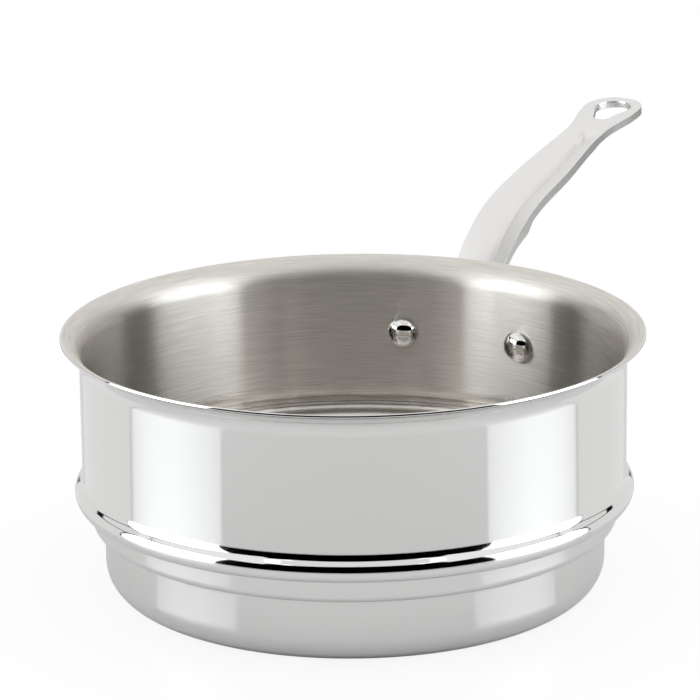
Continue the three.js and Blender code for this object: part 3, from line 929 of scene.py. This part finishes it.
cage = bmesh.new()
patch_id = cage.verts.layers.int.new("patch_id")
grid = bmesh.ops.create_grid(
    cage, x_segments=len(columns) - 1, y_segments=GRID_ROWS, size=1.0)
for vert in grid["verts"]:
    col = round((vert.co.x + 1) / 2 * (len(columns) - 1))
    row = round((vert.co.y + 1) / 2 * GRID_ROWS)
    angle = columns[col] * MM / FLANGE_OUTER
    z = RIVET_Z + flange_rows(columns[col])[row] * MM
    vert.co = (FLANGE_OUTER * math.cos(angle), FLANGE_OUTER * math.sin(angle), z)
    if abs(columns[col]) <= ROOT_HALF and 1 <= row <= CHEVRON_TOP:
        vert[patch_id] = 1 + (CHEVRON_TOP - row) * len(ACROSS) + col - len(EARS)
cage.normal_update()
front = cage.faces[:]
if sum((f.normal for f in front), Vector()).x < 0:
    bmesh.ops.reverse_faces(cage, faces=front)
bmesh.ops.solidify(cage, geom=front, thickness=FLANGE_THICKNESS)
patch = [f for f in front if all(v[patch_id] for v in f.verts)]
for vert in cage.verts:
    if not any(f in patch for f in vert.link_faces):
        vert[patch_id] = 0
print("flange:", len(cage.faces), "faces, the bar leaves from", len(patch))

# %% [markdown]
# The chevron is extruded station by station. Each new ring of vertices keeps its number in the
# section, so it can be set to the section at that place. Stations lie closer where the form turns
# fast, as at the heel and the neck.

# %% Extrude the bar
STATIONS = (
    4.5, 9, 14, 20, 26, 32, 38, 43, 46, 48, 50.5, 53, 57, 64, 72, 80, 88, 96, 104, 112, 118.5,
    124, 129, 132.5, 135, 137.5, 140, 142.5, 145, 149, 153)


def extrude_to(faces, where):
    grown = bmesh.ops.extrude_face_region(cage, geom=faces)["geom"]
    for vert in (g for g in grown if isinstance(g, bmesh.types.BMVert)):
        row, col = divmod(vert[patch_id] - 1, len(ACROSS))
        vert.co = where(row, col)
    bmesh.ops.delete(cage, geom=[f for f in faces if f.is_valid], context="FACES_ONLY")
    return [g for g in grown if isinstance(g, bmesh.types.BMFace)]


for station in STATIONS:
    s = station * MM
    patch = extrude_to(patch, lambda row, col: on_bar(
        s, half_width(s) * ACROSS[col], section_depths(s, ACROSS[col])[row]))
print("bar:", len(cage.faces), "faces at", len(STATIONS), "stations")

# %% [markdown]
# The hanging hole is a teardrop: a small circle near the neck, a big one near the tip and straight
# flanks between. Ribs across the ring say where its arms run. Near the neck they lean from the hole
# to the outline, and round the tip they fan out from a pole inside the hole.

# %% Plan of the hanging loop
HOLE_LENGTH = 23.6 * MM
HOLE_BIG = 8.2 * MM
HOLE_SMALL = 4.4 * MM
HOLE_FAR = LOOP_CENTRE - 0.1 * MM
HOLE_NEAR = HOLE_FAR + HOLE_BIG - HOLE_LENGTH + HOLE_SMALL
LOOP_ROUND = 1.3 * MM
LOOP_TRIM = 0.3 * MM
POLE = LOOP_CENTRE - 2 * MM
SEARCH_REACH = 40 * MM
SEARCH_HALVINGS = 30
SCAN_STEP = 0.1
SCAN_COUNT = 120
SPLIT_ANGLES = (180, 158, 118)
SPLIT_OUTER = 158.2 * MM
FLANK_RIBS = ((163.2 * MM, 161.2 * MM), (166.2 * MM, 164.8 * MM))
FAN_ANGLES = (108, 90, 72, 54, 36, 18, 0)


def in_hole(s, y):
    t = min(max((s - HOLE_NEAR) / (HOLE_FAR - HOLE_NEAR), 0), 1)
    middle = HOLE_NEAR + (HOLE_FAR - HOLE_NEAR) * t
    return math.hypot(s - middle, y) < HOLE_SMALL + (HOLE_BIG - HOLE_SMALL) * t


def in_outline(s, y):
    return abs(y) < half_width(s)


def reach(inside, angle):
    near, far = 0.0, SEARCH_REACH
    for _ in range(SEARCH_HALVINGS):
        middle = (near + far) / 2
        if inside(POLE + middle * math.cos(angle), middle * math.sin(angle)):
            near = middle
        else:
            far = middle
    return near


def fan_rib(angle):
    inner, outer = reach(in_hole, angle), reach(in_outline, angle) - LOOP_TRIM
    steps = (inner, inner + LOOP_ROUND, outer - LOOP_ROUND, outer)
    return [(POLE + d * math.cos(angle), d * math.sin(angle)) for d in steps]


def near_rib(inner, outer_s):
    outer = Vector((outer_s, half_width(outer_s)))
    way = (outer - Vector(inner)).normalized() * LOOP_ROUND
    return [inner, tuple(Vector(inner) + way), tuple(outer - way), tuple(outer)]


def near_end(degrees):
    angle = math.radians(degrees)
    return HOLE_NEAR + HOLE_SMALL * math.cos(angle), HOLE_SMALL * math.sin(angle)


def hole_side(s):
    scan = [y * SCAN_STEP * MM for y in range(SCAN_COUNT)]
    return s, max(y for y in scan if in_hole(s, y))


*half_split, corner = [near_end(a) for a in SPLIT_ANGLES]
half_split += near_rib(corner, SPLIT_OUTER)
ribs = [near_rib(hole_side(inner), outer) for inner, outer in FLANK_RIBS]
ribs += [fan_rib(math.radians(a)) for a in FAN_ANGLES]
print("hole from", round(half_split[0][0], 4), "to", round(HOLE_FAR + HOLE_BIG, 4), "on the bar")

# %% [markdown]
# At the loop the section parts into two arms that run round the hole and meet again at the tip.
# The middle faces stay behind as the near end of the hole. The arms are extruded rib by rib and
# welded where they meet.

# %% Arms of the hanging loop
ARM_START = 2
CAGE_WELD = 0.01 * MM


def flat_place(row, place, side):
    return on_bar(place[0], side * place[1], edge_depth(place[0]) * row / 2)


patch = extrude_to(patch, lambda row, col: flat_place(
    row, half_split[abs(col - MIDDLE)], math.copysign(1, col - MIDDLE)))
for side in (1, -1):
    arm_columns = [MIDDLE + side * k for k in range(ARM_START, MIDDLE + 1)]
    ids = {1 + row * len(ACROSS) + col for row in range(3) for col in arm_columns}
    arm = [f for f in patch if f.is_valid and all(v[patch_id] in ids for v in f.verts)]
    for rib in ribs:
        arm = extrude_to(
            arm, lambda row, col: flat_place(row, rib[arm_columns.index(col)], side))
    bmesh.ops.delete(cage, geom=arm, context="FACES_ONLY")
bmesh.ops.remove_doubles(cage, verts=cage.verts, dist=CAGE_WELD)
loose = [v for v in cage.verts if not v.link_faces]
bmesh.ops.delete(cage, geom=loose, context="VERTS")
bmesh.ops.recalc_face_normals(cage, faces=cage.faces)
for face in cage.faces:
    face.smooth = True
print("open edges in the cage:", sum(not e.is_manifold for e in cage.edges))

# %% [markdown]
# Grinding leaves some edges of the casting crisper than the rest: the long edges of the bar, the
# valley of the channel and the lower edge of the hole. Creases keep these tight while the
# subdivision softens everything else.

# %% Crease and soften the casting
EDGE_CREASE = 0.55
VALLEY_CREASE = 0.5
BORE_CREASE = 0.8
SOFTEN_LEVELS = 3
TOP_ROW, SIDE_ROW, BOTTOM_ROW = range(3)

crease = cage.edges.layers.float.new("crease_edge")
bore_start = on_bar(HOLE_NEAR - HOLE_SMALL / 2, 0, 0).x
for edge in cage.edges:
    ids = {vert[patch_id] for vert in edge.verts}
    if len(ids) == 1 and 0 not in ids:
        row, col = divmod(ids.pop() - 1, len(ACROSS))
        aside = abs(col - MIDDLE)
        if row != SIDE_ROW and aside == MIDDLE:
            edge[crease] = EDGE_CREASE
        elif row == TOP_ROW and aside == 0:
            edge[crease] = VALLEY_CREASE
        elif row == BOTTOM_ROW and aside == ARM_START and edge.verts[0].co.x > bore_start:
            edge[crease] = BORE_CREASE
casting = make_piece(cage, "cast_handle", "handle", [satin_steel])
soften = casting.modifiers.new("soften", "SUBSURF")
soften.levels = soften.render_levels = SOFTEN_LEVELS
